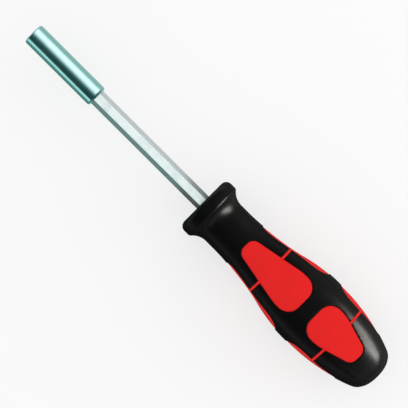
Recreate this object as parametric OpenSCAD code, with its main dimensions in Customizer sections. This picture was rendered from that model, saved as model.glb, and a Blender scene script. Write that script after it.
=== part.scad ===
// Bit holder screwdriver: a soft-pad handle, a hexagon blade and a fixed magnetic bit sleeve.
// Each piece is drawn upright, with the butt of the handle at zero, and then laid on its side.

/* [Bit socket] */
// Width across the flats of the bits that it takes
bit_af = 6.35; // [5.5:0.05:8]
// Clearance on each flat of a bit
bit_clear = 0.05; // [0.02:0.01:0.15]
// Depth of the socket, from the mouth to the magnet
socket_depth = 13; // [10:0.5:18]
// Length of the sleeve
sleeve_l = 38.5; // [30:0.5:50]
// Wall of the sleeve outside the ring groove
sleeve_wall = 0.5; // [0.4:0.05:2]
// Chamfer round the outside of the sleeve's mouth
mouth_chamfer = 0.4; // [0.1:0.05:0.45]
// How far the lead-in at the mouth reaches past the corners of the socket
lead_in = 0.3; // [0.1:0.05:0.5]
// Rounding of the sleeve's tail, where it is rolled in on the blade
tail_round = 1.25; // [0.4:0.05:2]

/* [Retaining ring] */
// Thickness of the ring's wire
ring_wire = 0.8; // [0.5:0.05:1.2]
// How far the ring stands into the corners of a bit
ring_bite = 0.32; // [0.15:0.01:0.45]
// Free play on each side of the ring in its groove
ring_play = 0.06; // [0.03:0.01:0.12]
// Angle of the gap between the ring's ends
ring_gap = 55; // [35:1:90]
// Distance from the mouth to the middle of the ring
ring_setback = 4.5; // [3:0.1:7]

/* [Magnet] */
// Diameter of the magnet
magnet_d = 4.6; // [3:0.1:5.2]
// Length of the magnet
magnet_l = 5; // [3:0.5:8]
// How far the magnet stands out of the blade
magnet_proud = 0.5; // [0.2:0.1:1]

/* [Blade] */
// Width across the flats of the blade
shaft_af = 6.35; // [5.5:0.05:8]
// Length of blade between the sleeve and the handle
shaft_show = 63.5; // [40:0.5:150]
// Length of the tang inside the handle
tang_l = 50; // [40:1:62]
// Length of the tang's pressed wings
wing_l = 12; // [6:0.5:18]
// Width over the wings
wing_w = 10.6; // [9:0.1:11.4]
// Thickness of the wings
wing_t = 2.6; // [1.5:0.1:4]
// Distance from the end of the tang to the wings
wing_setback = 4; // [2:0.5:8]

/* [Handle] */
// Length of the handle
handle_l = 105; // [95:1:130]
// Distance over two opposite flattened sides at the belly
belly_w = 33.7; // [31:0.1:37]
// Height of the belly over the butt
belly_z = 40; // [36:0.5:44]
// Radius of a side's outline in front of the belly
side_front_arc = 71; // [60:1:85]
// Length over which a side runs straight behind the belly
side_straight = 3.5; // [0:0.1:6]
// Radius of a side's outline behind the belly
side_rear_arc = 85; // [75:1:100]
// Distance over the lowest part of two sides in front of the belly
side_waist_w = 22.7; // [21.8:0.1:24]
// Distance from the front face to the lowest part of a side
side_waist_setback = 22; // [19:0.5:25]
// Diameter over the ridges at the belly
ridge_d = 35.6; // [34.5:0.1:38]
// Distance from the belly back to the thickest part of the ridges
ridge_setback = 2; // [0:0.5:4]
// Radius of a ridge's outline in front of the belly
ridge_front_arc = 110; // [95:1:125]
// Radius of a ridge's outline behind the belly
ridge_rear_arc = 90; // [80:1:110]
// Diameter of the neck
neck_d = 21.5; // [20:0.1:22.5]
// Distance from the front face to where the neck turns straight
neck_setback = 17; // [15:0.5:20]
// Radius of the flare from the neck out to the rim
flare_arc = 8; // [5:0.5:9]
// Diameter of the rim
rim_d = 28.3; // [26:0.1:30]
// Width of the rim, from its rear edge's rounding to the front face
rim_w = 5.2; // [4:0.1:7]
// Rounding of the rim's front edge
rim_round = 3; // [0.5:0.1:3.5]
// Rounding of the rim's rear edge, where the flare meets it
crest_round = 1.5; // [0.2:0.1:2]
// Radius of the domed butt
dome_arc = 26; // [20:0.5:36]
// Radius between the domed butt and the ridges
shoulder_arc = 11; // [9:0.5:12]

/* [Core] */
// Black wall between the floor of a pad and the core at the neck
core_neck_wall = 1.3; // [0.8:0.1:2]
// Black wall between the floor of a pad and the core at the belly
core_belly_wall = 4.2; // [3:0.1:6]
// Black wall behind the core
core_butt_wall = 20; // [16:0.5:26]
// Black wall in front of the core
core_front_wall = 3; // [2:0.1:5]
// Length of the core's thick part in front of the belly
core_belly_front = 14; // [8:0.5:18]
// Number of keys along the core's thick part
core_keys = 6; // [4:1:8]
// Width of a key
core_key_w = 3; // [2:0.1:4]
// Height of a key
core_key_h = 1; // [0.5:0.1:1.5]

/* [Pads] */
// Thickness of the soft pads
pad_t = 1.8; // [1:0.1:2.2]
// How far the pads lie below the black surface
pad_recess = 0.35; // [0.1:0.05:0.6]
// Width of the black cross-band between the front and rear pads
band_w = 7.1; // [5:0.1:10]
// Distance from the belly to the middle of the cross-band
band_shift = 1.8; // [-1:0.1:3]
// Distance from the front face to the narrow end of the front pads
front_pad_setback = 25.4; // [23:0.1:30]
// Distance from the butt to the narrow end of the rear pads
rear_pad_setback = 12.4; // [10:0.1:14]
// Width of the pads beside the cross-band
pad_wide = 17.9; // [15:0.1:19]
// Width of the pads at their narrow ends
pad_narrow = 8.4; // [7.9:0.1:10]
// Length over which a front pad keeps its full width
front_pad_full = 9.1; // [8:0.1:12]
// Length over which a rear pad keeps its full width
rear_pad_full = 9.6; // [9:0.1:12]
// Rounding of a pad's corners beside the cross-band
pad_wide_round = 6; // [2:0.1:6.7]
// Rounding of a pad's corners at the narrow end
pad_narrow_round = 3.9; // [1:0.1:3.9]
// Rounding where a pad begins to taper
pad_side_round = 20; // [4:0.5:24]

/* [Ribs] */
// Width of the flow ribs
rib_w = 1.2; // [0.8:0.1:2]
// Thickness of the flow ribs
rib_t = 1; // [0.6:0.1:1.4]
// How far the flow ribs lie below the black surface
rib_recess = 0.12; // [0.05:0.01:0.3]
// Distance from the cross-band to the front ribs
front_rib_setback = 19.3; // [12:0.1:24]
// Distance from the cross-band to the rear ribs
rear_rib_setback = 13; // [9:0.1:15]

/* [Fits] */
// Gap of a pressed seat
press_gap = 0.01; // [0.005:0.005:0.03]
// Bond line between two moulded pieces
mould_gap = 0.02; // [0.01:0.005:0.05]

/* [Hidden] */
$fn = 96;
sides = 4;
side_turn = 360 / sides;
arc_steps = 8;
line_steps = 24;
past = 1;
shoulder_share = 0.95;

// Heights over the butt
front_z = handle_l;
tail_z = handle_l + shaft_show;
tip_z = tail_z + sleeve_l;
floor_z = tip_z - socket_depth;
shaft_top_z = floor_z - magnet_proud;
tang_z = front_z - tang_l;
ring_z = tip_z - ring_setback;
crest_z = front_z - rim_w;
neck_z = front_z - neck_setback;
band_z = belly_z + band_shift;
front_pad_z = band_z + band_w / 2;
rear_pad_z = band_z - band_w / 2;
front_rib_z = front_pad_z + front_rib_setback;
rear_rib_z = rear_pad_z - rear_rib_setback;

// Bit socket and retaining ring
socket_af = bit_af + 2 * bit_clear;
seat_af = shaft_af + 2 * press_gap;
ring_in_r = corner(bit_af) - ring_bite;
ring_out_r = ring_in_r + ring_wire;
groove_r = ring_out_r + ring_bite + ring_play;
lead_in_r = corner(socket_af) + lead_in;
groove_w = ring_wire + 2 * ring_play;
sleeve_r = max(groove_r, lead_in_r + mouth_chamfer, corner(seat_af)) + sleeve_wall;
tail_r = min(tail_round, sleeve_r - corner(seat_af) - press_gap);

// Handle outlines
belly_r = belly_w / 2;
rim_r = rim_d / 2;
neck_r = neck_d / 2;
crest_r = rim_r - crest_round;
flare_turn = acos((neck_r + flare_arc - crest_r) / (flare_arc + crest_round));
flare_z = crest_z - (flare_arc + crest_round) * sin(flare_turn);
reach_r = max(ridge_d, rim_d);

// [radius at the belly, height where it ends, height where it begins, rear arc, front arc,
//  radius at the waist, its height]
ridge_z = belly_z - ridge_setback;
ridge_line = [ridge_d / 2, ridge_z, ridge_z, ridge_rear_arc, ridge_front_arc, neck_r, neck_z];
side_line = [
    belly_r, belly_z, belly_z - side_straight, side_rear_arc, side_front_arc,
    side_waist_w / 2, front_z - side_waist_setback
];
shoulder_r = min(shoulder_arc, shoulder_share * widest_shoulder());
shoulder = shoulder_centre();

// Core
core_neck_r = neck_r - pad_recess - pad_t - core_neck_wall;
core_belly_r = belly_r - pad_recess - pad_t - core_belly_wall;
core_step_z = belly_z + core_belly_front;
core_neck_z = core_step_z + core_belly_r - core_neck_r;
core_front_z = front_z - core_front_wall;

// Distance from the middle of a hexagon to its corners
function corner(af) = af / sqrt(3);

// Sum of the front arc and the waist arc that meet smoothly between belly and waist
function arcs_sum(line) =
    let (rise = line[0] - line[5], run = line[6] - line[1])
    (run * run + rise * rise) / (2 * rise);

// Centres of a line's rear, front and waist arcs
function rear_centre(line) = [line[0] - line[3], line[2]];
function front_centre(line) = [line[0] - line[4], line[1]];
function waist_arc(line) = arcs_sum(line) - line[4];
function waist_centre(line) = [line[5] + waist_arc(line), line[6]];

// Height at which the front arc turns into the waist arc, on a surface lowered by inset
function turn_z(line, inset) =
    let (from = front_centre(line), to = waist_centre(line))
    from[1] + (to[1] - from[1]) * (line[4] - inset) / arcs_sum(line);

// Distance from the handle's axis to a line at a height, on a surface lowered by inset
function rise_of(r, centre, z) = sqrt(r * r - (z - centre[1]) * (z - centre[1]));
function line_r(line, inset, z) =
    z < line[2] ? rear_centre(line)[0] + rise_of(line[3] - inset, rear_centre(line), z)
    : z <= line[1] ? line[0] - inset
    : z <= turn_z(line, inset) ? front_centre(line)[0] + rise_of(line[4] - inset, front_centre(line), z)
    : waist_centre(line)[0] - rise_of(waist_arc(line) + inset, waist_centre(line), z);

// Points along a line between two heights
function line_points(line, inset, z0, z1) = [
    for (k = [0:line_steps])
        let (z = z0 + (z1 - z0) * k / line_steps)
        [line_r(line, inset, z), z]
];

// Points along an arc, without its first one
function arc_points(centre, r, from, to) = [
    for (k = [1:arc_steps])
        let (a = from + (to - from) * k / arc_steps)
        centre + r * [cos(a), sin(a)]
];

// Radius of the shoulder that would leave no room for the dome
function widest_shoulder() =
    let (ridge = rear_centre(ridge_line))
    (ridge_rear_arc * ridge_rear_arc - ridge * ridge) / (2 * (ridge_rear_arc - ridge[1]));

// The shoulder arc touches the dome and the ridge's rear arc from inside
function shoulder_centre() =
    let (
        dome = [0, dome_arc],
        ridge = rear_centre(ridge_line),
        a = dome_arc - shoulder_r,
        b = ridge_rear_arc - shoulder_r,
        span = norm(ridge - dome),
        along = (ridge - dome) / span,
        s = (span * span + a * a - b * b) / (2 * span),
        h = sqrt(a * a - s * s)
    )
    dome + s * along + h * [-along[1], along[0]];

// Direction from the middle of an arc to the shoulder
function shoulder_turn(centre) = atan2(shoulder[1] - centre[1], shoulder[0] - centre[0]);

// Points of a closed outline with each corner rounded by its own radius
function rounded(points, radii) = [
    for (i = [0:len(points) - 1])
        let (
            p = points[i],
            back = points[(i + len(points) - 1) % len(points)] - p,
            on = points[(i + 1) % len(points)] - p,
            u = back / norm(back),
            v = on / norm(on),
            half = acos(u * v) / 2,
            middle = p + (u + v) / norm(u + v) * radii[i] / sin(half),
            first = p + u * radii[i] / tan(half) - middle,
            turn = (cross(u, v) > 0 ? -1 : 1) * (180 - 2 * half)
        )
        for (k = [0:arc_steps])
            let (a = turn * k / arc_steps)
            middle + [
                first[0] * cos(a) - first[1] * sin(a),
                first[0] * sin(a) + first[1] * cos(a)
            ]
];

// Lays an upright piece on its side, the tip towards +X
module lay()
    translate([-tip_z / 2, 0, belly_r])
        rotate([0, 90, 0])
            children();

// Turns a piece drawn on +X to one of the four sides, the first of them on top
module on_side(i)
    rotate(180 + side_turn * (i - 1))
        children();

module hexagon(af, h)
    rotate(30)
        cylinder(r = corner(af), h = h, $fn = 6);

// Outline through the ridges from the butt to the end of the neck, lowered by inset
function ridge_outline(inset) =
    let (
        dome = [0, dome_arc],
        ridge = rear_centre(ridge_line),
        foot_z = ridge[1] + (ridge_rear_arc - inset) * sin(shoulder_turn(ridge))
    )
    concat(
        [[0, inset]],
        arc_points(dome, dome_arc - inset, -90, shoulder_turn(dome)),
        arc_points(shoulder, shoulder_r - inset, shoulder_turn(dome), shoulder_turn(ridge)),
        [
            for (p = line_points(ridge_line, inset, foot_z, neck_z))
                if (p[1] > foot_z) p
        ],
        [[neck_r - inset, flare_z]]
    );

// Solid through the ridges, lowered by inset, as far as the end of the neck
module ridge_form(inset)
    rotate_extrude()
        polygon(concat(ridge_outline(inset), [[0, flare_z]]));

// Solid through the ridges with the flare and the rim in front of the neck
module full_ridge_form()
    rotate_extrude()
        polygon(concat(
            ridge_outline(0),
            arc_points([neck_r + flare_arc, flare_z], flare_arc, 180, 180 - flare_turn),
            arc_points([crest_r, crest_z], crest_round, -flare_turn, 0),
            arc_points([rim_r - rim_round, front_z - rim_round], rim_round, 0, 90),
            [[0, front_z]]
        ));

// Solid inside the flattened side on +X, lowered by inset
module side_form(inset)
    rotate([90, 0, 0])
        linear_extrude(2 * reach_r, center = true)
            polygon(concat(
                [[-reach_r, -past]],
                line_points(side_line, inset, -past, flare_z),
                [[reach_r, flare_z], [reach_r, front_z + past], [-reach_r, front_z + past]]
            ));

// Outline of a pad, its wide end at zero, grown by grow
module pad_outline(length, full, grow) {
    wide = pad_wide / 2 + grow;
    narrow = pad_narrow / 2 + grow;
    top = length + grow;
    half = [[narrow, top], [wide, full], [wide, -grow]];
    radii = [pad_narrow_round + grow, pad_side_round + grow, pad_wide_round + grow];
    polygon(rounded(
        concat(half, [for (i = [2:-1:0]) [-half[i][0], half[i][1]]]),
        concat(radii, [for (i = [2:-1:0]) radii[i]])
    ));
}

// Column over a pad on +X
module front_pad_column(grow)
    translate([core_neck_r, 0, front_pad_z])
        rotate([90, 0, 90])
            linear_extrude(reach_r)
                pad_outline(front_z - front_pad_setback - front_pad_z, front_pad_full, grow);

module rear_pad_column(grow)
    translate([core_neck_r, 0, rear_pad_z])
        rotate([90, 0, 90])
            linear_extrude(reach_r)
                mirror([0, 1])
                    pad_outline(rear_pad_z - rear_pad_setback, rear_pad_full, grow);

// Layer of soft material on +X between two depths below the black surface
module pad_layer(top, bottom)
    difference() {
        intersection() {
            children();
            ridge_form(top);
            side_form(top);
        }
        intersection() {
            ridge_form(bottom);
            side_form(bottom);
        }
    }

// Space in the black body for a pad on +X
module pad_pocket()
    difference() {
        children();
        intersection() {
            ridge_form(pad_recess + pad_t + mould_gap);
            side_form(pad_recess + pad_t + mould_gap);
        }
    }

// Slice of the handle at a rib's height
module rib_slice(z, grow)
    translate([0, 0, z - rib_w / 2 - grow])
        cylinder(r = reach_r, h = rib_w + 2 * grow);

// Handle without its pieces
module handle_form()
    intersection() {
        full_ridge_form();
        intersection_for (i = [1:sides])
            on_side(i)
                side_form(0);
    }

// Handle between the middles of a side and the next, lowered by inset
module ridge_sector(inset)
    intersection() {
        ridge_form(inset);
        on_side(1)
            side_form(inset);
        on_side(2)
            side_form(inset);
        on_side(1)
            cube([reach_r, reach_r, front_z]);
    }

// Rib over the first ridge, between the pads on both sides of it
module rib(z)
    difference() {
        intersection() {
            rib_slice(z, 0);
            ridge_sector(rib_recess);
        }
        ridge_form(rib_recess + rib_t);
        for (i = [1:2])
            on_side(i)
                children();
    }

// Blade with its tang, grown by grow for the space that it fills
module blade_form(grow, top) {
    translate([0, 0, tang_z - grow])
        hexagon(shaft_af + 2 * grow, top - tang_z + grow);
    translate([-wing_w / 2 - grow, -wing_t / 2 - grow, tang_z + wing_setback - grow])
        cube([wing_w + 2 * grow, wing_t + 2 * grow, wing_l + 2 * grow]);
}

// Core with its keys, grown by grow for the space that it fills
module core_form(grow) {
    rotate_extrude()
        polygon([
            [0, core_butt_wall - grow],
            [core_belly_r + grow, core_butt_wall - grow],
            [core_belly_r + grow, core_step_z],
            [core_neck_r + grow, core_neck_z],
            [core_neck_r + grow, core_front_z + grow],
            [0, core_front_z + grow]
        ]);
    for (k = [1:core_keys])
        rotate(k * 360 / core_keys)
            translate([0, -core_key_w / 2 - grow, core_butt_wall - grow])
                cube([
                    core_belly_r + core_key_h + grow,
                    core_key_w + 2 * grow,
                    core_step_z - core_butt_wall + grow
                ]);
}

module bit_sleeve()
    color([0.5, 0.71, 0.69])
        lay()
            difference() {
                translate([0, 0, tail_z])
                    rotate_extrude()
                        polygon(concat(
                            [[0, 0], [sleeve_r - tail_r, 0]],
                            arc_points([sleeve_r - tail_r, tail_r], tail_r, -90, 0),
                            [
                                [sleeve_r, sleeve_l - mouth_chamfer],
                                [sleeve_r - mouth_chamfer, sleeve_l],
                                [0, sleeve_l]
                            ]
                        ));
                translate([0, 0, tail_z - past])
                    hexagon(seat_af, shaft_top_z - tail_z + past);
                translate([0, 0, shaft_top_z])
                    hexagon(socket_af, tip_z - shaft_top_z + past);
                translate([0, 0, ring_z - groove_w / 2])
                    cylinder(r = groove_r, h = groove_w);
                translate([0, 0, tip_z - lead_in_r])
                    cylinder(r1 = 0, r2 = lead_in_r + past, h = lead_in_r + past);
            }

module bit_retaining_ring()
    color([0.55, 0.57, 0.58])
        lay()
            translate([0, 0, ring_z])
                rotate(ring_gap / 2)
                    rotate_extrude(angle = 360 - ring_gap)
                        translate([ring_in_r + ring_wire / 2, 0])
                            circle(d = ring_wire);

module bit_magnet()
    color([0.72, 0.72, 0.7])
        lay()
            translate([0, 0, floor_z - magnet_l])
                cylinder(d = magnet_d, h = magnet_l);

module blade_shaft()
    color([0.82, 0.87, 0.87])
        lay()
            difference() {
                blade_form(0, shaft_top_z);
                translate([0, 0, floor_z - magnet_l - press_gap])
                    cylinder(r = magnet_d / 2 + press_gap, h = magnet_l + past);
            }

module handle_core()
    color([0.2, 0.2, 0.21])
        lay()
            difference() {
                core_form(0);
                blade_form(mould_gap, front_z);
            }

module handle_body()
    color([0.07, 0.06, 0.06])
        lay()
            difference() {
                handle_form();
                core_form(mould_gap);
                translate([0, 0, core_neck_z])
                    hexagon(shaft_af + 2 * mould_gap, front_z - core_neck_z + past);
                for (i = [1:sides])
                    on_side(i) {
                        pad_pocket()
                            front_pad_column(mould_gap);
                        pad_pocket()
                            rear_pad_column(mould_gap);
                    }
                for (z = [front_rib_z, rear_rib_z])
                    difference() {
                        rib_slice(z, mould_gap);
                        ridge_form(rib_recess + rib_t + mould_gap);
                    }
            }

module front_pad(i)
    color([0.91, 0.13, 0.14])
        lay()
            on_side(i)
                pad_layer(pad_recess, pad_recess + pad_t)
                    front_pad_column(0);

module rear_pad(i)
    color([0.91, 0.13, 0.14])
        lay()
            on_side(i)
                pad_layer(pad_recess, pad_recess + pad_t)
                    rear_pad_column(0);

module front_rib(i)
    color([0.91, 0.13, 0.14])
        lay()
            rotate(side_turn * (i - 1))
                rib(front_rib_z)
                    front_pad_column(mould_gap);

module rear_rib(i)
    color([0.91, 0.13, 0.14])
        lay()
            rotate(side_turn * (i - 1))
                rib(rear_rib_z)
                    rear_pad_column(mould_gap);

bit_sleeve();
bit_retaining_ring();
bit_magnet();
blade_shaft();
handle_core();
handle_body();
for (i = [1:sides]) {
    front_pad(i);
    rear_pad(i);
    front_rib(i);
    rear_rib(i);
}
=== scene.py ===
import math

import bmesh
import bpy
from mathutils import Matrix, Vector


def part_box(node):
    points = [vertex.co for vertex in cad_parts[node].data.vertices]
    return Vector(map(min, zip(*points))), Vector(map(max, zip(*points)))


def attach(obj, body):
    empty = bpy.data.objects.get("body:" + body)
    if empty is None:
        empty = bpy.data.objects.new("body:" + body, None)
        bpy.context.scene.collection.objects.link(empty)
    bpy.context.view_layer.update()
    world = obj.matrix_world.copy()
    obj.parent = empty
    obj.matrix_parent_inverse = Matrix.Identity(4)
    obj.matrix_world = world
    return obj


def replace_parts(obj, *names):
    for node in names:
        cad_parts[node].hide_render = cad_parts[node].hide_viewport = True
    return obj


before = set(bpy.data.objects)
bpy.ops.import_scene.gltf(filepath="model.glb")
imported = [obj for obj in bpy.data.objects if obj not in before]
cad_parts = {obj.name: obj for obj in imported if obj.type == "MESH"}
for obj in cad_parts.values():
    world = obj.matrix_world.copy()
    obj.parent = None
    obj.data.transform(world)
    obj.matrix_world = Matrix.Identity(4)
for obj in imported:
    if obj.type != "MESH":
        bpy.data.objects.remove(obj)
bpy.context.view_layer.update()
print("frame loaded,", len(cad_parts), "nodes")

mm = 0.001
bodyLow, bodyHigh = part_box("handle_body")
sleeveLow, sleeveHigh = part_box("bit_sleeve")
buttX = bodyLow.x                                  # lengths below count from the butt, in mm
axisZ = (bodyLow.z + bodyHigh.z) / 2               # the tool's axis runs along X at this height
axisPoint = (0, 0, axisZ)
axisWay = (1, 0, 0)
handleLength = (bodyHigh.x - bodyLow.x) / mm
quarter = math.pi / 2
sliver = 0.008                                     # edges shorter than this, in mm, are merged


# Modelling helpers

def place(along, side, up):
    return Vector((buttX + along * mm, side * mm, axisZ + up * mm))


def fromButt(x):
    return (x - buttX) / mm


def clearSelection():
    if bpy.context.object and bpy.context.object.mode != "OBJECT":
        bpy.ops.object.mode_set(mode="OBJECT")
    bpy.ops.object.select_all(action="DESELECT")


def activate(obj):
    clearSelection()
    obj.select_set(True)
    bpy.context.view_layer.objects.active = obj


def drawChain(name, points):                       # one vertex, extruded from point to point
    clearSelection()
    bpy.ops.mesh.primitive_plane_add(size=mm, location=(0, 0, 0))
    obj = bpy.context.object
    obj.name = name
    obj.data.name = name
    bpy.ops.object.mode_set(mode="EDIT")
    bpy.ops.mesh.select_all(action="SELECT")
    bpy.ops.mesh.merge(type="CENTER")
    bpy.ops.transform.translate(value=points[0])
    for start, stop in zip(points, points[1:]):
        bpy.ops.mesh.extrude_region_move(TRANSFORM_OT_translate={"value": stop - start})
    return obj


def spinChain(obj, steps, angle=2 * math.pi):      # turns the chain round the tool's axis
    bpy.ops.mesh.select_all(action="SELECT")
    bpy.ops.mesh.spin(steps=steps, angle=angle, center=axisPoint, axis=axisWay)
    bpy.ops.mesh.select_all(action="SELECT")
    bpy.ops.mesh.remove_doubles(threshold=sliver * mm)
    bpy.ops.mesh.normals_make_consistent(inside=False)
    bpy.ops.object.mode_set(mode="OBJECT")
    return obj


def drawPrism(name, section, length):              # section filled and extruded along the tool
    obj = drawChain(name, section)
    bpy.ops.mesh.select_all(action="SELECT")
    bpy.ops.mesh.edge_face_add()
    bpy.ops.mesh.extrude_region_move(TRANSFORM_OT_translate={"value": (length * mm, 0, 0)})
    bpy.ops.mesh.select_all(action="SELECT")
    bpy.ops.mesh.normals_make_consistent(inside=False)
    bpy.ops.object.mode_set(mode="OBJECT")
    return obj


def hexagon(along, flats):                         # a flat faces up
    corner = flats / math.sqrt(3)
    turns = [math.radians(30 + 60 * k) for k in range(6)]
    return [place(along, corner * math.sin(a), corner * math.cos(a)) for a in turns]


def bevelAll(obj, width, segments):
    activate(obj)
    bpy.ops.object.mode_set(mode="EDIT")
    bpy.ops.mesh.select_all(action="SELECT")
    bpy.ops.mesh.bevel(offset=width * mm, segments=segments, affect="EDGES")
    bpy.ops.object.mode_set(mode="OBJECT")


def applyModifier(obj, kind, **settings):
    activate(obj)
    modifier = obj.modifiers.new(kind.lower(), kind)
    for key, value in settings.items():
        setattr(modifier, key, value)
    bpy.ops.object.modifier_apply(modifier=modifier.name)


def combine(obj, other, operation="DIFFERENCE"):
    applyModifier(obj, "BOOLEAN", object=other, operation=operation, solver="EXACT")
    bpy.data.objects.remove(other)
    bpy.ops.object.mode_set(mode="EDIT")           # slivers along the cut go
    bpy.ops.mesh.select_all(action="SELECT")
    bpy.ops.mesh.remove_doubles(threshold=sliver * mm)
    bpy.ops.mesh.dissolve_degenerate(threshold=sliver * mm)
    bpy.ops.object.mode_set(mode="OBJECT")


def smoothByAngle(obj, degrees):                   # large faces keep their own direction, roundings blend
    activate(obj)
    bpy.ops.object.shade_smooth_by_angle(angle=math.radians(degrees))
    applyModifier(obj, "WEIGHTED_NORMAL", keep_sharp=True)


def turnedCopy(obj, name, angle):                  # a copy with its own mesh, turned round the axis
    copy = obj.copy()
    copy.data = obj.data.copy()
    copy.name = name
    copy.data.name = name
    bpy.context.scene.collection.objects.link(copy)
    middle = Matrix.Translation(axisPoint)
    copy.data.transform(middle @ Matrix.Rotation(angle, 4, "X") @ middle.inverted())
    return copy


def joinAll(pieces, name):
    activate(pieces[0])
    for piece in pieces:
        piece.select_set(True)
    bpy.ops.object.join()
    pieces[0].name = name
    return pieces[0]


def arc(centre, radius, first, last, steps):       # points as (along, radius), angles from +radius
    points = []
    for k in range(1, steps + 1):
        a = math.radians(first + (last - first) * k / steps)
        points.append((centre[0] + radius * math.sin(a), centre[1] + radius * math.cos(a)))
    return points


# Handle surface

handle = {
    "sideRadius": (bodyHigh.z - bodyLow.z) / 2 / mm,
    "sideFrom": 36.5, "sideTo": 40.0, "sideRearArc": 85.0, "sideFrontArc": 71.0,
    "sideWaist": 11.35, "sideWaistPlace": 83.0,
    "ridgeRadius": 17.8, "ridgePlace": 38.0, "ridgeRearArc": 90.0, "ridgeFrontArc": 110.0,
    "neckRadius": 10.75, "neckPlace": 88.0,
    "flareArc": 8.0, "rimRadius": 14.15, "rimWidth": 5.2, "rimRound": 3.0, "crestRound": 1.5,
    "domeArc": 26.0, "shoulderArc": 11.0,
    "crown": 27.0, "waistCrown": 41.0, "waistCrownPlace": 64.0, "waistCrownReach": 8.0,
    "blend": 0.8, "pole": 0.01, "heightRounds": 6, "smoothAngle": 35,
    "turns": 192, "stations": 130, "domeSteps": 6, "shoulderSteps": 22, "neckSteps": 6, "flareSteps": 16,
    "crestSteps": 10, "rimSteps": 3, "rimRoundSteps": 14, "faceSteps": 4,
}


def lineRadius(along, belly, rearFrom, frontFrom, rearArc, frontArc, waist, waistPlace):
    rise = belly - waist
    run = waistPlace - frontFrom
    arcs = (run * run + rise * rise) / (2 * rise)  # front arc and waist arc meet smoothly
    if along < rearFrom:
        return belly - rearArc + math.sqrt(rearArc ** 2 - (along - rearFrom) ** 2)
    if along <= frontFrom:
        return belly
    if along <= frontFrom + run * frontArc / arcs:
        return belly - frontArc + math.sqrt(frontArc ** 2 - (along - frontFrom) ** 2)
    waistArc = arcs - frontArc
    return waist + waistArc - math.sqrt(waistArc ** 2 - (along - waistPlace) ** 2)


def ridgeRadius(along):
    h = handle
    return lineRadius(
        min(along, h["neckPlace"]), h["ridgeRadius"], h["ridgePlace"], h["ridgePlace"],
        h["ridgeRearArc"], h["ridgeFrontArc"], h["neckRadius"], h["neckPlace"])


def sideRadius(along, turn):                       # flattened side with its crown, at a turn from its middle
    h = handle
    middle = lineRadius(
        along, h["sideRadius"], h["sideFrom"], h["sideTo"],
        h["sideRearArc"], h["sideFrontArc"], h["sideWaist"], h["sideWaistPlace"])
    near = math.exp(-((along - h["waistCrownPlace"]) / h["waistCrownReach"]) ** 2)
    crown = h["crown"] + (h["waistCrown"] - h["crown"]) * near
    back = crown - middle
    return -back * math.cos(turn) + math.sqrt(crown ** 2 - (back * math.sin(turn)) ** 2)


def softMin(a, b):
    k = handle["blend"]
    near = max(k - abs(a - b), 0) / k
    return min(a, b) - near * near * k / 4


def skinRadius(along, turn):
    return softMin(ridgeRadius(along), sideRadius(along, turn))


def skinHeight(along, side):                       # height of the skin over the axis, beside a side's middle
    height = sideRadius(along, 0)
    for _ in range(handle["heightRounds"]):
        height = math.sqrt(skinRadius(along, math.atan2(side, height)) ** 2 - side ** 2)
    return height


def handleOutline():
    h = handle
    ridgeCentre = Vector((h["ridgePlace"], h["ridgeRadius"] - h["ridgeRearArc"]))
    domeCentre = Vector((h["domeArc"], 0))
    fromDome = h["domeArc"] - h["shoulderArc"]     # the shoulder's arc touches the dome and the ridge line
    fromRidge = h["ridgeRearArc"] - h["shoulderArc"]
    span = (ridgeCentre - domeCentre).length
    way = (ridgeCentre - domeCentre) / span
    run = (span ** 2 + fromDome ** 2 - fromRidge ** 2) / (2 * span)
    shoulder = domeCentre + run * way + math.sqrt(fromDome ** 2 - run ** 2) * Vector((way.y, -way.x))

    def heading(centre):                           # angle from +radius towards +along
        return math.degrees(math.atan2(shoulder.x - centre.x, shoulder.y - centre.y))

    points = [(0.0, 0.0)]
    points += arc(domeCentre, h["domeArc"], -90, heading(domeCentre), h["domeSteps"])
    points += arc(shoulder, h["shoulderArc"], heading(domeCentre), heading(ridgeCentre), h["shoulderSteps"])
    foot = points[-1][0]
    for k in range(1, h["stations"] + 1):
        along = foot + (h["neckPlace"] - foot) * k / h["stations"]
        points.append((along, ridgeRadius(along)))

    crest = Vector((handleLength - h["rimWidth"], h["rimRadius"] - h["crestRound"]))
    reach = h["flareArc"] + h["crestRound"]
    drop = h["neckRadius"] + h["flareArc"] - crest.y
    flarePlace = crest.x - math.sqrt(reach ** 2 - drop ** 2)
    flareCentre = Vector((flarePlace, h["neckRadius"] + h["flareArc"]))
    meet = math.degrees(math.atan2(crest.x - flareCentre.x, crest.y - flareCentre.y))
    for k in range(1, h["neckSteps"] + 1):
        along = h["neckPlace"] + (flarePlace - h["neckPlace"]) * k / h["neckSteps"]
        points.append((along, h["neckRadius"]))
    points += arc(flareCentre, h["flareArc"], 180, meet, h["flareSteps"])
    points += arc(crest, h["crestRound"], meet - 180, 0, h["crestSteps"])
    rimCentre = (handleLength - h["rimRound"], h["rimRadius"] - h["rimRound"])
    for k in range(1, h["rimSteps"] + 1):
        points.append((crest.x + (rimCentre[0] - crest.x) * k / h["rimSteps"], h["rimRadius"]))
    points += arc(rimCentre, h["rimRound"], 0, 90, h["rimRoundSteps"])
    for k in range(h["faceSteps"] - 1, -1, -1):
        points.append((handleLength, rimCentre[1] * k / h["faceSteps"]))
    handle["flarePlace"] = flarePlace              # the sides are flattened up to here
    return points


def flattenSides(obj):
    for vertex in obj.data.vertices:
        along = fromButt(vertex.co.x)
        side = vertex.co.y / mm
        up = (vertex.co.z - axisZ) / mm
        radius = math.hypot(side, up)
        if along > handle["flarePlace"] or radius < handle["pole"]:
            continue
        turn = math.atan2(side, up)
        turn -= quarter * round(turn / quarter)
        shrink = softMin(radius, sideRadius(along, turn)) / radius
        vertex.co.y = side * shrink * mm
        vertex.co.z = axisZ + up * shrink * mm


# Pad outlines, drawn flat and then laid on the top side

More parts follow.
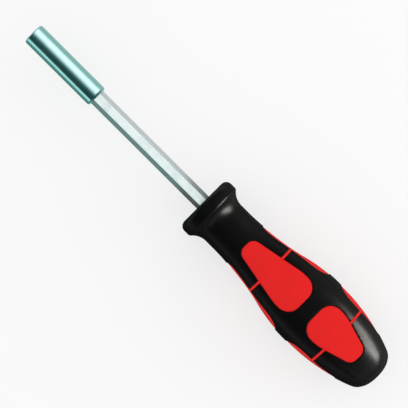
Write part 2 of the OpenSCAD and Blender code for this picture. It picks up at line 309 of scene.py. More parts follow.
pad = {
    "wide": 17.9, "narrow": 8.4, "wideRound": 6.0, "narrowRound": 3.9, "sideRound": 20.0,
    "recess": 0.35, "thickness": 1.8, "edgeRound": 0.32, "gap": 0.05,
    "insets": (0.05, 0.07, 0.09, 0.12, 0.17, 0.3, 0.5, 0.7, 0.8), "points": 168, "span": 20,
    "smoothAngle": 40,
}


def padEnds(node):                                 # wide end and narrow end, from the butt
    low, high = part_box(node)
    ends = (fromButt(low.x), fromButt(high.x))
    return ends if node.startswith("front") else ends[::-1]


padKinds = {
    "front_pad": {"ends": padEnds("front_pad_1"), "full": 9.1},
    "rear_pad": {"ends": padEnds("rear_pad_1"), "full": 9.6},
}


def roundCorners(corners, radii, steps=14):
    points = []
    for i, corner in enumerate(corners):
        p = Vector(corner)
        if radii[i] == 0:
            points.append(p)
            continue
        u = (Vector(corners[i - 1]) - p).normalized()
        v = (Vector(corners[(i + 1) % len(corners)]) - p).normalized()
        half = math.acos(u.dot(v)) / 2
        middle = p + (u + v).normalized() * radii[i] / math.sin(half)
        first = p + u * radii[i] / math.tan(half) - middle
        sweep = (math.pi - 2 * half) * (-1 if u.x * v.y - u.y * v.x > 0 else 1)
        for k in range(steps + 1):
            points.append(middle + Matrix.Rotation(sweep * k / steps, 2) @ first)
    return points


def spreadEvenly(points, count):
    loop = points + points[:1]
    lengths = [(b - a).length for a, b in zip(loop, loop[1:])]
    total = sum(lengths)
    spread = []
    walked = 0.0
    k = 0
    for i in range(count):
        target = total * i / count
        while walked + lengths[k] < target:
            walked += lengths[k]
            k += 1
        spread.append(loop[k].lerp(loop[k + 1], (target - walked) / max(lengths[k], 1e-9)))
    return spread


def padOutline(kind, grow):                        # (along, side) points
    wideEnd, narrowEnd = kind["ends"]
    way = 1 if narrowEnd > wideEnd else -1
    length = abs(narrowEnd - wideEnd)
    wide = pad["wide"] / 2 + grow
    narrow = pad["narrow"] / 2 + grow
    half = [(narrow, length + grow), (wide, kind["full"]), (wide, -grow)]
    radii = [pad["narrowRound"] + grow, pad["sideRound"] + grow, pad["wideRound"] + grow]
    corners = half + [(-side, along) for side, along in half[::-1]]
    points = spreadEvenly(roundCorners(corners, radii + radii[::-1]), pad["points"])
    return [Vector((wideEnd + way * p.y, p.x)) for p in points]


def edgeDistance(point, outline):
    best = math.inf
    for a, b in zip(outline, outline[1:] + outline[:1]):
        step = b - a
        t = max(0, min(1, (point - a).dot(step) / step.length_squared))
        best = min(best, (point - a - step * t).length)
    return best


def drawPatch(name, outline, insets):              # flat patch with rings inside its edge
    obj = drawChain(name, [Vector((p.x, p.y, 0)) * mm for p in outline])
    bpy.ops.mesh.select_all(action="SELECT")
    bpy.ops.mesh.edge_face_add()
    for step in insets:
        bpy.ops.mesh.inset(thickness=step * mm, depth=0)
    bpy.ops.mesh.delete(type="ONLY_FACE")
    mesh = bmesh.from_edit_mesh(obj.data)
    reach = sum(insets) / 2                        # the innermost ring lies further in than this
    for edge in mesh.edges:
        middle = (edge.verts[0].co + edge.verts[1].co) / 2 / mm
        edge.select_set(edge.is_boundary and edgeDistance(middle.xy, outline) > reach)
    bmesh.update_edit_mesh(obj.data)
    bpy.ops.mesh.fill_grid(span=pad["span"])
    return obj


def layOnTop(along, side, depth):
    return place(along, side, skinHeight(along, side) - depth)


def makePad(name, kind):
    outline = padOutline(kind, -pad["gap"])
    obj = drawPatch(name, outline, pad["insets"])
    bpy.ops.object.mode_set(mode="OBJECT")
    edge = pad["edgeRound"]
    for vertex in obj.data.vertices:
        point = (vertex.co / mm).xy
        inside = min(edgeDistance(point, outline), edge)
        drop = edge - math.sqrt(edge ** 2 - (edge - inside) ** 2)
        vertex.co = layOnTop(point.x, point.y, pad["recess"] + drop)
    activate(obj)
    bpy.ops.object.mode_set(mode="EDIT")
    bpy.ops.mesh.select_all(action="SELECT")
    bpy.ops.mesh.normals_make_consistent(inside=False)
    bpy.ops.object.mode_set(mode="OBJECT")
    if obj.data.polygons[0].normal.z < 0:
        obj.data.flip_normals()
    applyModifier(obj, "SOLIDIFY", thickness=(pad["thickness"] - edge) * mm, offset=-1)
    smoothByAngle(obj, pad["smoothAngle"])
    return obj


pocket = {                                         # (growth of the outline, depth) of each step, floor first
    "floor": (0.02, 2.25),
    "steps": ((0.02, 0.55), (0.05, 0.27), (0.16, 0.08), (0.34, -0.02), (0.6, -0.09), (0.6, -1.0)),
    "insets": (0.4, 0.8, 1.2),
}


def makePocketCutter(name, kind):
    grow, depth = pocket["floor"]
    outline = padOutline(kind, grow)
    obj = drawPatch(name, outline, pocket["insets"])
    mesh = bmesh.from_edit_mesh(obj.data)
    spots = {}                                     # flat point and place on the rim, by where a vertex is now
    for vertex in mesh.verts:
        point = (vertex.co / mm).xy
        gaps = [(point - p).length for p in outline]
        ring = gaps.index(min(gaps)) if vertex.is_boundary else None
        vertex.co = layOnTop(point.x, point.y, depth)
        spots[tuple(vertex.co)] = (point, ring)
    bmesh.update_edit_mesh(obj.data)
    bpy.ops.mesh.select_all(action="SELECT")
    for grow, depth in pocket["steps"]:
        wider = padOutline(kind, grow)
        bpy.ops.mesh.extrude_region_move()
        mesh = bmesh.from_edit_mesh(obj.data)
        lifted = {}
        for vertex in [v for v in mesh.verts if v.select]:
            point, ring = spots[tuple(vertex.co)]
            spot = point if ring is None else wider[ring]
            vertex.co = layOnTop(spot.x, spot.y, depth)
            lifted[tuple(vertex.co)] = (point, ring)
        spots = lifted
        bmesh.update_edit_mesh(obj.data)
    bpy.ops.mesh.select_all(action="SELECT")
    bpy.ops.mesh.normals_make_consistent(inside=False)
    bpy.ops.object.mode_set(mode="OBJECT")
    return obj


bodyChain = drawChain("handleBody", [place(a, 0, r) for a, r in handleOutline()])
bodyPiece = spinChain(bodyChain, handle["turns"])
flattenSides(bodyPiece)
print("handle skin,", len(bodyPiece.data.polygons), "faces")

pads = []
for kindName, kind in padKinds.items():
    first = makePad(kindName + "Top", kind)
    for i in range(4):
        piece = turnedCopy(first, f"{kindName}_soft_{i + 1}", quarter * i)
        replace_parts(piece, f"{kindName}_{i + 1}")
        pads.append(piece)
    bpy.data.objects.remove(first)
print("soft pads,", len(pads))

cutters = []
for kindName, kind in padKinds.items():
    first = makePocketCutter(kindName + "Cutter", kind)
    cutters.append(first)
    cutters += [turnedCopy(first, f"{kindName}Cutter{i}", quarter * i) for i in (1, 2, 3)]
combine(bodyPiece, joinAll(cutters, "pocketCutters"))
print("pockets cut,", len(bodyPiece.data.polygons), "faces")


# Flow ribs over the ridges, in grooves of their own

rib = {"width": 1.2, "recess": 0.12, "thickness": 0.9, "edgeRound": 0.2, "gap": 0.03, "lap": 0.12,
       "grooveDepth": 1.12, "lip": 0.12, "cutterRise": 2.0, "across": 8, "along": 28, "crowding": 1.5,
       "smoothAngle": 40}


def ribPlace(node):
    low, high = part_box(node)
    return fromButt((low.x + high.x) / 2)


def halfWidth(outline, along):                     # side of a pad's outline at a place along the handle
    widest = 0.0
    for a, b in zip(outline, outline[1:] + outline[:1]):
        if (a.x - along) * (b.x - along) <= 0 and abs(a.x - b.x) > 1e-6:
            widest = max(widest, abs(a.lerp(b, (along - a.x) / (b.x - a.x)).y))
    return widest


def makeRibGroove(name, along):
    half = rib["width"] / 2 + rib["gap"]
    radius = ridgeRadius(along)
    wall = [(half, radius - rib["grooveDepth"]), (half, radius - rib["lip"]),
            (half + rib["lip"], radius + rib["lip"] / 2), (half + rib["lip"], radius + rib["cutterRise"])]
    loop = wall + [(-a, r) for a, r in wall[::-1]]
    points = [place(along + a, 0, r) for a, r in loop + loop[:1]]
    return spinChain(drawChain(name, points), handle["turns"])


def makeRib(name, along, kind):
    outline = padOutline(kind, -rib["lap"])
    clearSelection()
    bpy.ops.mesh.primitive_grid_add(x_subdivisions=rib["across"], y_subdivisions=rib["along"], size=2)
    obj = bpy.context.object
    obj.name = name
    obj.data.name = name
    half = rib["width"] / 2
    edge = rib["edgeRound"]
    for vertex in obj.data.vertices:
        u, t = vertex.co.x, (vertex.co.y + 1) / 2
        shift = math.copysign(1 - (1 - abs(u)) ** rib["crowding"], u)   # close rows at the edges
        spot = along + shift * half
        beside = halfWidth(outline, spot)
        first = math.atan2(beside, skinHeight(spot, beside))
        turn = first + (quarter - 2 * first) * t
        inside = min(half - abs(spot - along), edge)
        drop = edge - math.sqrt(max(edge ** 2 - (edge - inside) ** 2, 0))
        radius = skinRadius(spot, turn if turn < quarter / 2 else turn - quarter) - rib["recess"] - drop
        vertex.co = place(spot, -radius * math.sin(turn), radius * math.cos(turn))
    if obj.data.polygons[0].normal.z < 0:
        obj.data.flip_normals()
    applyModifier(obj, "SOLIDIFY", thickness=rib["thickness"] * mm, offset=-1)
    smoothByAngle(obj, rib["smoothAngle"])
    return obj


ribs = []
grooves = []
for kindName, padName in (("front_rib", "front_pad"), ("rear_rib", "rear_pad")):
    along = ribPlace(kindName + "_1")
    grooves.append(makeRibGroove(kindName + "Groove", along))
    first = makeRib(kindName + "First", along, padKinds[padName])
    for i in range(4):
        piece = turnedCopy(first, f"{kindName}_soft_{i + 1}", quarter * i)
        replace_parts(piece, f"{kindName}_{i + 1}")
        ribs.append(piece)
    bpy.data.objects.remove(first)
combine(bodyPiece, joinAll(grooves, "ribGrooves"))
print("flow ribs,", len(ribs))


# Seat of the core and the blade inside the handle

seat = {"bladeFlats": 6.39, "bladeFrom": 95.0, "bladeReach": 20.0, "mouth": 0.5, "overlap": 0.1,
        "keyRoom": 1.05, "gap": 0.05}
coreLow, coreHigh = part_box("handle_core")
core = {
    "rear": fromButt(coreLow.x), "front": fromButt(coreHigh.x),
    "radius": 10.5, "neck": 7.3, "step": 54.0, "turns": 64,
}


def makeCoreCutter():
    big = core["radius"] + seat["keyRoom"]
    rear = core["rear"] - seat["gap"]
    front = core["front"] + seat["gap"]
    step = core["step"] + seat["gap"]
    neck = core["neck"] + seat["gap"]
    outline = [(rear, 0), (rear, big), (step, big), (step + big - neck, neck), (front, neck), (front, 0)]
    return spinChain(drawChain("coreCutter", [place(a, 0, r) for a, r in outline]), core["turns"])


def makeHoleMouth():                               # chamfer round the blade, where it leaves the handle
    depth = seat["mouth"] + seat["overlap"]
    flats = seat["bladeFlats"] - 2 * seat["overlap"]
    obj = drawPrism("holeMouth", hexagon(handleLength - depth, flats), 2 * depth)
    grown = 1 + 4 * depth / flats                  # a slope of 45 degrees over the prism's length
    for vertex in obj.data.vertices:
        if fromButt(vertex.co.x) > handleLength:
            vertex.co.y *= grown
            vertex.co.z = axisZ + (vertex.co.z - axisZ) * grown
    return obj


combine(bodyPiece, makeCoreCutter())
combine(bodyPiece, drawPrism("bladeHole", hexagon(seat["bladeFrom"], seat["bladeFlats"]), seat["bladeReach"]))
combine(bodyPiece, makeHoleMouth())
smoothByAngle(bodyPiece, handle["smoothAngle"])
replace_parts(bodyPiece, "handle_body")
print("handle body,", len(bodyPiece.data.polygons), "faces")


# Bit sleeve

mouth = fromButt(sleeveHigh.x)
tail = fromButt(sleeveLow.x)
ringLow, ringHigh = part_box("bit_retaining_ring")
magnetLow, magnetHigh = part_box("bit_magnet")
magnetStand = 0.5                                  # the magnet stands this far out of the socket's floor
sleeve = {
    "radius": (sleeveHigh.z - sleeveLow.z) / 2 / mm, "tailRound": 1.25, "chamfer": 0.4, "edgeRound": 0.14,
    "socketFlats": 6.45, "seatFlats": 6.37, "leadIn": 0.3, "floor": fromButt(magnetHigh.x) - magnetStand,
    "grooveRadius": 4.526, "grooveWidth": 0.92, "cutterRun": 1.0, "cutterLap": 0.01,
    "turns": 128, "grooveTurns": 96, "roundSteps": 8, "smoothAngle": 30,
}
ringPlace = fromButt((ringLow.x + ringHigh.x) / 2)


def makeSleeve():
    r = sleeve["radius"]
    lead = sleeve["socketFlats"] / math.sqrt(3) + sleeve["leadIn"]
    corners = [(tail, 0), (tail, r), (mouth - sleeve["chamfer"], r), (mouth, r - sleeve["chamfer"]),
               (mouth, lead), (mouth - lead, 0)]
    small = sleeve["edgeRound"]
    outline = roundCorners(corners, [0, sleeve["tailRound"], small, small, small, 0], sleeve["roundSteps"])
    obj = spinChain(drawChain("bitSleeve", [place(p.x, 0, p.y) for p in outline]), sleeve["turns"])
    floor = sleeve["floor"]
    run = sleeve["cutterRun"]
    combine(obj, drawPrism("socketCutter", hexagon(floor, sleeve["socketFlats"]), mouth - floor + run))
    seatLength = floor - tail + run + sleeve["cutterLap"]
    combine(obj, drawPrism("seatCutter", hexagon(tail - run, sleeve["seatFlats"]), seatLength))
    half = sleeve["grooveWidth"] / 2
    groove = [(ringPlace - half, 0), (ringPlace - half, sleeve["grooveRadius"]),
              (ringPlace + half, sleeve["grooveRadius"]), (ringPlace + half, 0)]
    cutter = drawChain("grooveCutter", [place(a, 0, r) for a, r in groove])
    combine(obj, spinChain(cutter, sleeve["grooveTurns"]))
    smoothByAngle(obj, sleeve["smoothAngle"])
    return obj


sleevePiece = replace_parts(makeSleeve(), "bit_sleeve")
print("bit sleeve,", len(sleevePiece.data.polygons), "faces")


# Blade with its tang and the magnet's hole

bladeLow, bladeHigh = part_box("blade_shaft")
blade = {
    "flats": 6.35, "edgeRound": 0.12, "wingWidth": (bladeHigh.z - bladeLow.z) / mm, "wingThick": 2.6,
    "wingLength": 12.0, "wingSetback": 4.0, "roundSteps": 3, "wingSteps": 2, "smoothAngle": 40,
    "holeRadius": (magnetHigh.z - magnetLow.z) / 2 / mm, "holeGap": 0.01, "holeTurns": 64,
}


def makeBlade():
    tang = fromButt(bladeLow.x)
    obj = drawPrism("bladeShaft", hexagon(tang, blade["flats"]), fromButt(bladeHigh.x) - tang)
    bevelAll(obj, blade["edgeRound"], blade["roundSteps"])
    wide, thick = blade["wingWidth"] / 2, blade["wingThick"] / 2
    spot = tang + blade["wingSetback"]
    section = [place(spot, y, z) for y, z in ((thick, wide), (thick, -wide), (-thick, -wide), (-thick, wide))]
    wings = drawPrism("tangWings", section, blade["wingLength"])
    bevelAll(wings, blade["edgeRound"], blade["wingSteps"])
    combine(obj, wings, "UNION")
    end = fromButt(magnetLow.x) - blade["holeGap"]
    radius = blade["holeRadius"] + blade["holeGap"]
    outline = [(end, 0), (end, radius), (mouth, radius), (mouth, 0)]
    hole = drawChain("magnetHole", [place(a, 0, r) for a, r in outline])
    combine(obj, spinChain(hole, blade["holeTurns"]))
    smoothByAngle(obj, blade["smoothAngle"])
    return obj


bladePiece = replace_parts(makeBlade(), "blade_shaft")
print("blade,", len(bladePiece.data.polygons), "faces")


# Magnet and retaining ring

magnet = {"radius": (magnetHigh.z - magnetLow.z) / 2 / mm, "edgeRound": 0.25, "roundSteps": 5, "turns": 64}
ring = {"wire": (ringHigh.x - ringLow.x) / mm, "outer": (ringHigh.y - ringLow.y) / 2 / mm, "gap": 55.0,
        "sides": 18, "turns": 72}
smallSmoothAngle = 40


def makeMagnet():
    low, high = fromButt(magnetLow.x), fromButt(magnetHigh.x)
    corners = [(low, 0), (low, magnet["radius"]), (high, magnet["radius"]), (high, 0)]
    outline = roundCorners(corners, [0, magnet["edgeRound"], magnet["edgeRound"], 0], magnet["roundSteps"])
    obj = spinChain(drawChain("bitMagnet", [place(p.x, 0, p.y) for p in outline]), magnet["turns"])
    smoothByAngle(obj, smallSmoothAngle)
    return obj


def makeRing():                                    # its gap faces down
    half = ring["wire"] / 2
    start = math.radians(ring["gap"] / 2)
    points = []
    for k in range(ring["sides"]):
        a = 2 * math.pi * k / ring["sides"]
        r = ring["outer"] - half + half * math.cos(a)
        points.append(place(ringPlace + half * math.sin(a), -r * math.sin(start), -r * math.cos(start)))
    obj = drawChain("bitRetainingRing", points)
    bpy.ops.mesh.select_all(action="SELECT")
    bpy.ops.mesh.edge_face_add()
    spinChain(obj, ring["turns"], math.radians(360 - ring["gap"]))
    smoothByAngle(obj, smallSmoothAngle)
    return obj


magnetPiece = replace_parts(makeMagnet(), "bit_magnet")
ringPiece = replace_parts(makeRing(), "bit_retaining_ring")
for piece in [bodyPiece, sleevePiece, bladePiece, magnetPiece, *pads, *ribs]:
    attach(piece, "tool")
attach(ringPiece, "retaining_ring")
print("magnet and ring,", len(magnetPiece.data.polygons) + len(ringPiece.data.polygons), "faces")


# Shared surface effects, as node groups on object coordinates in metres

def newGroup(name, inputs, outputs):
    tree = bpy.data.node_groups.new(name, "ShaderNodeTree")
    for socket, kind in inputs:
        tree.interface.new_socket(socket, in_out="INPUT", socket_type="NodeSocket" + kind)
    for socket in outputs:
        tree.interface.new_socket(socket, in_out="OUTPUT", socket_type="NodeSocketFloat")
    return tree, tree.nodes.new("NodeGroupInput").outputs, tree.nodes.new("NodeGroupOutput").inputs


def addMath(tree, operation, a, b=0.0, c=0.0):
    node = tree.nodes.new("ShaderNodeMath")
    node.operation = operation
    for socket, value in zip(node.inputs, (a, b, c)):
        if isinstance(value, (int, float)):
            socket.default_value = value
        else:
            tree.links.new(value, socket)
    return node.outputs[0]


def addNoise(tree, vector, scale, detail=3.0, roughness=0.6):
    node = tree.nodes.new("ShaderNodeTexNoise")
    node.inputs["Detail"].default_value = detail
    node.inputs["Roughness"].default_value = roughness
    tree.links.new(vector, node.inputs["Vector"])
    if isinstance(scale, (int, float)):
        node.inputs["Scale"].default_value = scale
    else:
        tree.links.new(scale, node.inputs["Scale"])
    return node.outputs["Fac"]


def addRange(tree, value, low, high, first=0.0, last=1.0):
    node = tree.nodes.new("ShaderNodeMapRange")
    node.interpolation_type = "SMOOTHSTEP"
    tree.links.new(value, node.inputs["Value"])
    for socket, number in zip(("From Min", "From Max", "To Min", "To Max"), (low, high, first, last)):
        node.inputs[socket].default_value = number
    return node.outputs["Result"]


def addMapping(tree, vector, scale, turn=(0, 0, 0)):
    node = tree.nodes.new("ShaderNodeMapping")
    node.inputs["Scale"].default_value = scale
    node.inputs["Rotation"].default_value = turn
    tree.links.new(vector, node.inputs["Vector"])
    return node.outputs["Vector"]


mouldGrain = {"fineDetail": 2.0, "pitScale": 0.6, "pitDepth": 0.5,
              "cloudScale": 0.03, "cloudDetail": 4.0, "cloud": (0.3, 0.7)}


def makeGrainGroup():                              # fine texture of a mould's wall, and a slow cloudiness
    g = mouldGrain
    inputs = (("Vector", "Vector"), ("Scale", "Float"))
    tree, given, result = newGroup("mouldGrain", inputs, ("Height", "Cloud"))
    fine = addNoise(tree, given["Vector"], given["Scale"], g["fineDetail"])
    pits = tree.nodes.new("ShaderNodeTexVoronoi")
    tree.links.new(given["Vector"], pits.inputs["Vector"])
    tree.links.new(addMath(tree, "MULTIPLY", given["Scale"], g["pitScale"]), pits.inputs["Scale"])
    height = addMath(tree, "MULTIPLY_ADD", pits.outputs["Distance"], g["pitDepth"], fine)
    tree.links.new(height, result["Height"])
    slowScale = addMath(tree, "MULTIPLY", given["Scale"], g["cloudScale"])
    slow = addNoise(tree, given["Vector"], slowScale, g["cloudDetail"])
    tree.links.new(addRange(tree, slow, *g["cloud"]), result["Cloud"])
    return tree


handling = {"smudgeDetail": 5.0, "smudgeRough": 0.65, "smudge": (0.42, 0.68),
            "scratchTurns": ((0.2, 0.5, 0.9), (1.1, -0.4, 2.3)), "scratchStretch": (0.12, 1.0, 1.0),
            "scratchWidth": 0.025, "patchDetail": 2.0, "patch": (0.5, 0.66)}


def makeHandlingGroup():                           # smudges and hair scratches from use
    g = handling
    inputs = (("Vector", "Vector"), ("Smudge Scale", "Float"), ("Scratch Scale", "Float"))
    tree, given, result = newGroup("handling", inputs, ("Smudge", "Scratch"))
    smudge = addNoise(tree, given["Vector"], given["Smudge Scale"], g["smudgeDetail"], g["smudgeRough"])
    tree.links.new(addRange(tree, smudge, *g["smudge"]), result["Smudge"])
    marks = None
    for turn in g["scratchTurns"]:
        cells = tree.nodes.new("ShaderNodeTexVoronoi")
        cells.feature = "DISTANCE_TO_EDGE"
        stretched = addMapping(tree, given["Vector"], g["scratchStretch"], turn)
        tree.links.new(stretched, cells.inputs["Vector"])
        tree.links.new(given["Scratch Scale"], cells.inputs["Scale"])
        line = addRange(tree, cells.outputs["Distance"], 0.0, g["scratchWidth"], 1.0, 0.0)
        marks = line if marks is None else addMath(tree, "MAXIMUM", marks, line)
    patches = addNoise(tree, given["Vector"], given["Smudge Scale"], g["patchDetail"])
    scratch = addMath(tree, "MULTIPLY", marks, addRange(tree, patches, *g["patch"]))
    tree.links.new(scratch, result["Scratch"])
    return tree


toolLines = {"lineScale": 1.0, "lineDetail": 3.0, "lineRough": 0.7,
             "streakScale": 0.18, "streakDetail": 2.0, "streak": (0.35, 0.65)}


def makeLinesGroup():                              # drawn or turned lines, crowded by the given mapping
    g = toolLines
    tree, given, result = newGroup("toolLines", (("Vector", "Vector"),), ("Line", "Streak"))
    line = addNoise(tree, given["Vector"], g["lineScale"], g["lineDetail"], g["lineRough"])
    tree.links.new(line, result["Line"])
    streak = addNoise(tree, given["Vector"], g["streakScale"], g["streakDetail"])
    tree.links.new(addRange(tree, streak, *g["streak"]), result["Streak"])
    return tree


grainGroup = makeGrainGroup()
handlingGroup = makeHandlingGroup()
linesGroup = makeLinesGroup()


# Finishes, one function each

def newMaterial(name):
    material = bpy.data.materials.new(name)
    material.use_nodes = True
    tree = material.node_tree
    coordinates = tree.nodes.new("ShaderNodeTexCoord").outputs["Object"]
    return material, tree, tree.nodes["Principled BSDF"], coordinates


def useGroup(tree, group, vector, **values):
    node = tree.nodes.new("ShaderNodeGroup")
    node.node_tree = group
    tree.links.new(vector, node.inputs["Vector"])
    for key, value in values.items():
        node.inputs[key.replace("_", " ")].default_value = value
    return node.outputs


def mixColour(tree, factor, first, last):
    node = tree.nodes.new("ShaderNodeMix")
    node.data_type = "RGBA"
    tree.links.new(factor, node.inputs["Factor"])
    for socket, value in ((node.inputs[6], first), (node.inputs[7], last)):
        if isinstance(value, tuple):
            socket.default_value = (*value, 1)
        else:
            tree.links.new(value, socket)
    return node.outputs[2]


def addBump(tree, shader, height, distance, strength):
    node = tree.nodes.new("ShaderNodeBump")
    node.inputs["Distance"].default_value = distance * mm
    node.inputs["Strength"].default_value = strength
    tree.links.new(height, node.inputs["Height"])
    tree.links.new(node.outputs["Normal"], shader.inputs["Normal"])


def setConstants(shader, **values):
    for key, value in values.items():
        shader.inputs[key.replace("_", " ")].default_value = value


def addShares(tree, first, firstShare, second, secondShare):
    return addMath(tree, "MULTIPLY_ADD", first, firstShare, addMath(tree, "MULTIPLY", second, secondShare))


blackFinish = {"deep": (0.003, 0.0026, 0.0027), "worn": (0.009, 0.0085, 0.0085), "edge": (0.53, 0.6),
               "rough": 0.28, "smudged": 0.35, "haze": 0.45, "hazeFrom": 0.3, "hazeTo": 0.7, "ior": 1.2,
               "grainScale": 5200.0, "grainDepth": 0.012, "smudgeScale": 85.0, "scratchScale": 420.0,
               "scratchWear": 0.35, "edgeWear": 0.4, "cloudDull": 0.3, "smudgeDull": 0.7,
               "scratchRise": -0.5, "bump": 0.3}


def makeBlackPlastic():
    f = blackFinish
    material, tree, shader, spot = newMaterial("blackPlastic")
    grain = useGroup(tree, grainGroup, spot, Scale=f["grainScale"])
    use = useGroup(tree, handlingGroup, spot, Smudge_Scale=f["smudgeScale"], Scratch_Scale=f["scratchScale"])
    edges = addRange(tree, tree.nodes.new("ShaderNodeNewGeometry").outputs["Pointiness"], *f["edge"])
    worn = addShares(tree, use["Scratch"], f["scratchWear"], edges, f["edgeWear"])
    tone = mixColour(tree, worn, f["deep"], f["worn"])
    tree.links.new(tone, shader.inputs["Base Color"])
    dull = addShares(tree, grain["Cloud"], f["cloudDull"], use["Smudge"], f["smudgeDull"])
    gloss = addRange(tree, dull, 0.0, 1.0, f["rough"], f["smudged"])
    slant = tree.nodes.new("ShaderNodeLayerWeight").outputs["Facing"]
    haze = addRange(tree, slant, f["hazeFrom"], f["hazeTo"], 0.0, f["haze"])   # grain dulls at a low angle
    tree.links.new(addMath(tree, "ADD", gloss, haze), shader.inputs["Roughness"])
    height = addMath(tree, "MULTIPLY_ADD", use["Scratch"], f["scratchRise"], grain["Height"])
    addBump(tree, shader, height, f["grainDepth"], f["bump"])
    setConstants(shader, IOR=f["ior"])
    return material


redFinish = {"fresh": (0.82, 0.0115, 0.0105), "dull": (0.76, 0.014, 0.0128), "rough": 0.58, "dry": 0.72,
             "specular": 0.18, "grainScale": 3600.0, "grainDepth": 0.02, "smudgeScale": 110.0,
             "scratchScale": 260.0, "cloudShade": 0.4, "smudgeShade": 0.35, "scratchRise": -0.2, "bump": 0.35}


def makeRedSoftGrip():
    f = redFinish
    material, tree, shader, spot = newMaterial("redSoftGrip")
    grain = useGroup(tree, grainGroup, spot, Scale=f["grainScale"])
    use = useGroup(tree, handlingGroup, spot, Smudge_Scale=f["smudgeScale"], Scratch_Scale=f["scratchScale"])
    shade = addShares(tree, grain["Cloud"], f["cloudShade"], use["Smudge"], f["smudgeShade"])
    tree.links.new(mixColour(tree, shade, f["fresh"], f["dull"]), shader.inputs["Base Color"])
    tree.links.new(addRange(tree, grain["Cloud"], 0.0, 1.0, f["rough"], f["dry"]), shader.inputs["Roughness"])
    height = addMath(tree, "MULTIPLY_ADD", use["Scratch"], f["scratchRise"], grain["Height"])
    addBump(tree, shader, height, f["grainDepth"], f["bump"])
    setConstants(shader, Specular_IOR_Level=f["specular"])
    return material


steelWear = {"scratchScale": 900.0, "scratchShade": 0.5, "lineDull": 0.5, "smudgeDull": 0.5,
             "dull": (0.1, 0.8), "bump": 0.25}


def makeSteel(name, f):                            # lines crowd along the axis that has the large scale
    w = steelWear
    material, tree, shader, spot = newMaterial(name)
    lines = useGroup(tree, linesGroup, addMapping(tree, spot, f["lines"]))
    use = useGroup(tree, handlingGroup, spot, Smudge_Scale=f["smudgeScale"], Scratch_Scale=w["scratchScale"])
    tone = mixColour(tree, addMath(tree, "MULTIPLY", lines["Streak"], f["streaks"]), f["bright"], f["dark"])
    tone = mixColour(tree, addMath(tree, "MULTIPLY", use["Scratch"], w["scratchShade"]), tone, f["dark"])
    tree.links.new(tone, shader.inputs["Base Color"])
    dull = addShares(tree, lines["Line"], w["lineDull"], use["Smudge"], w["smudgeDull"])
    tree.links.new(addRange(tree, dull, *w["dull"], f["rough"], f["smudged"]), shader.inputs["Roughness"])
    addBump(tree, shader, lines["Line"], f["lineDepth"], w["bump"])
    setConstants(shader, Metallic=1.0)
    return material


sleeveFinish = {"bright": (0.215, 0.47, 0.445), "dark": (0.165, 0.39, 0.37), "rough": 0.15, "smudged": 0.22,
                "lines": (9000.0, 90.0, 90.0), "streaks": 0.3, "smudgeScale": 160.0, "lineDepth": 0.0015}
bladeFinish = {"bright": (0.47, 0.52, 0.52), "dark": (0.37, 0.43, 0.43), "rough": 0.34, "smudged": 0.42,
               "lines": (60.0, 5000.0, 5000.0), "streaks": 0.35, "smudgeScale": 120.0, "lineDepth": 0.004}
wireFinish = {"bright": (0.52, 0.54, 0.55), "dark": (0.3, 0.29, 0.28), "rough": 0.22, "smudged": 0.36,
              "lines": (7000.0, 700.0, 700.0), "streaks": 0.6, "smudgeScale": 700.0, "lineDepth": 0.003}
magnetFinish = {"bright": (0.7, 0.69, 0.66), "dark": (0.52, 0.5, 0.46), "rough": 0.16, "smudged": 0.32,
                "lines": (1500.0, 2600.0, 2600.0), "streaks": 0.4, "smudgeScale": 600.0, "lineDepth": 0.003}
coreFinish = {"pale": (0.042, 0.042, 0.045), "dark": (0.026, 0.026, 0.028), "rough": 0.42, "smudged": 0.6,
              "grainScale": 2600.0, "grainDepth": 0.03, "bump": 0.4}


def makeCorePlastic():
    f = coreFinish
    material, tree, shader, spot = newMaterial("corePlastic")
    grain = useGroup(tree, grainGroup, spot, Scale=f["grainScale"])
    tree.links.new(mixColour(tree, grain["Cloud"], f["pale"], f["dark"]), shader.inputs["Base Color"])
    rough = addRange(tree, grain["Cloud"], 0.0, 1.0, f["rough"], f["smudged"])
    tree.links.new(rough, shader.inputs["Roughness"])
    addBump(tree, shader, grain["Height"], f["grainDepth"], f["bump"])
    return material


def dress(obj, material):
    obj.data.materials.clear()
    obj.data.materials.append(material)


redSoftGrip = makeRedSoftGrip()
finishes = [
    (bodyPiece, makeBlackPlastic(), "black_plastic"),
    (sleevePiece, makeSteel("polishedSleeve", sleeveFinish), "polished_sleeve"),
    (bladePiece, makeSteel("satinBlade", bladeFinish), "satin_blade"),
    (ringPiece, makeSteel("springWire", wireFinish), "spring_wire"),
    (magnetPiece, makeSteel("platedMagnet", magnetFinish), "plated_magnet"),
]
finishes += [(piece, redSoftGrip, "red_soft_grip") for piece in pads + ribs]
for piece, material, slot in finishes:
    dress(piece, material)
dress(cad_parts["handle_core"], makeCorePlastic())
print("finishes,", len(finishes) + 1, "pieces dressed")


# Stage: camera, floor, studio

camera = {"frameWidth": 173.9, "lens": 200.0, "sensor": 36.0, "tilt": 44.9, "middle": (0.7, 0.1),
          "farClip": 100.0}


def makeCamera():
    data = bpy.data.cameras.new("camera")
    data.lens = camera["lens"]
    data.sensor_width = camera["sensor"]
    obj = bpy.data.objects.new("camera", data)
    bpy.context.scene.collection.objects.link(obj)
    tilt = math.radians(camera["tilt"])
    right = Vector((-math.cos(tilt), -math.sin(tilt), 0))
    up = Vector((math.sin(tilt), -math.cos(tilt), 0))
    distance = camera["frameWidth"] * mm * camera["lens"] / data.sensor_width
    matrix = Matrix((right, up, Vector((0, 0, 1)))).transposed().to_4x4()
    matrix.translation = Vector((camera["middle"][0] * mm, camera["middle"][1] * mm, axisZ + distance))
    obj.matrix_world = matrix
    data.clip_end = camera["farClip"]
    bpy.context.scene.camera = obj


floorPaper = {"size": 20.0, "tone": (0.9, 0.9, 0.9), "white": 0.65}


